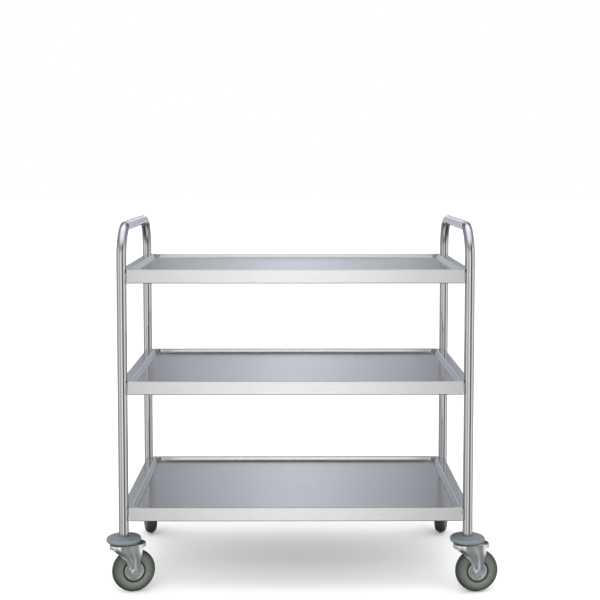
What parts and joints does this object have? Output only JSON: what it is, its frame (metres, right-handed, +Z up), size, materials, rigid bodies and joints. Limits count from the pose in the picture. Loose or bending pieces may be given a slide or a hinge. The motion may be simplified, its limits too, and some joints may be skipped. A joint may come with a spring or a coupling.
{
  "type": "food service trolley",
  "caption": "Wheeled serving trolley: drawn stainless trays between bent-tube end frames with push handles, bumper discs and swivel casters.",
  "frame": {"origin": "the middle of the whole object's footprint, on the floor (the frame itself stands 17 mm towards -X of it, because the front right wheel trails past its bumper disc)", "axes": "+X along the trays to the right, +Y from the front to the back along the push handles, +Z up"},
  "size_m": [0.9975, 0.603, 0.944],
  "materials": {
    "stainless_tube": "bright ground round tube",
    "stainless_sheet": "fine satin sheet, long straight grain",
    "weld_steel": "cleaned weld bead",
    "bumper_plastic": "blue-grey moulded plastic, satin",
    "zinc_steel": "bright zinc-plated pressed steel",
    "ball_steel": "polished",
    "tyre_rubber": "green-grey non-marking rubber, satin",
    "rim_plastic": "dark grey moulded plastic",
    "hub_cap_steel": "zinc-plated pressed cover"
  },
  "bodies": {
    "trolley_frame": {"end_frame_left": "stainless_tube", "end_frame_right": "stainless_tube", "tray_bottom": "stainless_sheet", "channels_bottom": "stainless_sheet", "tray_middle": "stainless_sheet", "channels_middle": "stainless_sheet", "tray_top": "stainless_sheet", "channels_top": "stainless_sheet", "corner_welds": "weld_steel", "bumper_disc_front_left": "bumper_plastic", "post_insert_front_left": "zinc_steel", "swivel_bolt_front_left": "zinc_steel", "swivel_head_front_left": "zinc_steel", "bumper_disc_front_right": "bumper_plastic", "post_insert_front_right": "zinc_steel", "swivel_bolt_front_right": "zinc_steel", "swivel_head_front_right": "zinc_steel", "bumper_disc_rear_left": "bumper_plastic", "post_insert_rear_left": "zinc_steel", "swivel_bolt_rear_left": "zinc_steel", "swivel_head_rear_left": "zinc_steel", "bumper_disc_rear_right": "bumper_plastic", "post_insert_rear_right": "zinc_steel", "swivel_bolt_rear_right": "zinc_steel", "swivel_head_rear_right": "zinc_steel"},
    "caster_front_left": {"fork_front_left": "zinc_steel", "ball_ring_front_left": "ball_steel", "axle_sleeve_front_left": "zinc_steel", "axle_bolt_front_left": "zinc_steel", "axle_nut_front_left": "zinc_steel"},
    "wheel_front_left": {"tyre_front_left": "tyre_rubber", "wheel_rim_front_left": "rim_plastic", "hub_caps_front_left": "hub_cap_steel"},
    "caster_front_right": {"fork_front_right": "zinc_steel", "ball_ring_front_right": "ball_steel", "axle_sleeve_front_right": "zinc_steel", "axle_bolt_front_right": "zinc_steel", "axle_nut_front_right": "zinc_steel"},
    "wheel_front_right": {"tyre_front_right": "tyre_rubber", "wheel_rim_front_right": "rim_plastic", "hub_caps_front_right": "hub_cap_steel"},
    "caster_rear_left": {"fork_rear_left": "zinc_steel", "ball_ring_rear_left": "ball_steel", "axle_sleeve_rear_left": "zinc_steel", "axle_bolt_rear_left": "zinc_steel", "axle_nut_rear_left": "zinc_steel"},
    "wheel_rear_left": {"tyre_rear_left": "tyre_rubber", "wheel_rim_rear_left": "rim_plastic", "hub_caps_rear_left": "hub_cap_steel"},
    "caster_rear_right": {"fork_rear_right": "zinc_steel", "ball_ring_rear_right": "ball_steel", "axle_sleeve_rear_right": "zinc_steel", "axle_bolt_rear_right": "zinc_steel", "axle_nut_rear_right": "zinc_steel"},
    "wheel_rear_right": {"tyre_rear_right": "tyre_rubber", "wheel_rim_rear_right": "rim_plastic", "hub_caps_rear_right": "hub_cap_steel"}
  },
  "joints": [
    {"name": "swivel_front_left", "type": "hinge", "parent": "trolley_frame", "child": "caster_front_left", "pos_m": [-0.45491, -0.2575, 0.117], "axis": [0, 0, 1], "continuous": true},
    {"name": "roll_front_left", "type": "hinge", "parent": "caster_front_left", "child": "wheel_front_left", "pos_m": [-0.43196, -0.25048, 0.055], "axis": [-0.2924, 0.9563, 0], "continuous": true},
    {"name": "swivel_front_right", "type": "hinge", "parent": "trolley_frame", "child": "caster_front_right", "pos_m": [0.42009, -0.2575, 0.117], "axis": [0, 0, 1], "continuous": true},
    {"name": "roll_front_right", "type": "hinge", "parent": "caster_front_right", "child": "wheel_front_right", "pos_m": [0.44391, -0.25457, 0.055], "axis": [-0.1219, 0.9925, 0], "continuous": true},
    {"name": "swivel_rear_left", "type": "hinge", "parent": "trolley_frame", "child": "caster_rear_left", "pos_m": [-0.45491, 0.2575, 0.117], "axis": [0, 0, 1], "continuous": true},
    {"name": "roll_rear_left", "type": "hinge", "parent": "caster_rear_left", "child": "wheel_rear_left", "pos_m": [-0.4491, 0.23421, 0.055], "axis": [0.9703, 0.2419, 0], "continuous": true},
    {"name": "swivel_rear_right", "type": "hinge", "parent": "trolley_frame", "child": "caster_rear_right", "pos_m": [0.42009, 0.2575, 0.117], "axis": [0, 0, 1], "continuous": true},
    {"name": "roll_rear_right", "type": "hinge", "parent": "caster_rear_right", "child": "wheel_rear_right", "pos_m": [0.41428, 0.23421, 0.055], "axis": [0.9703, -0.2419, 0], "continuous": true}
  ]
}
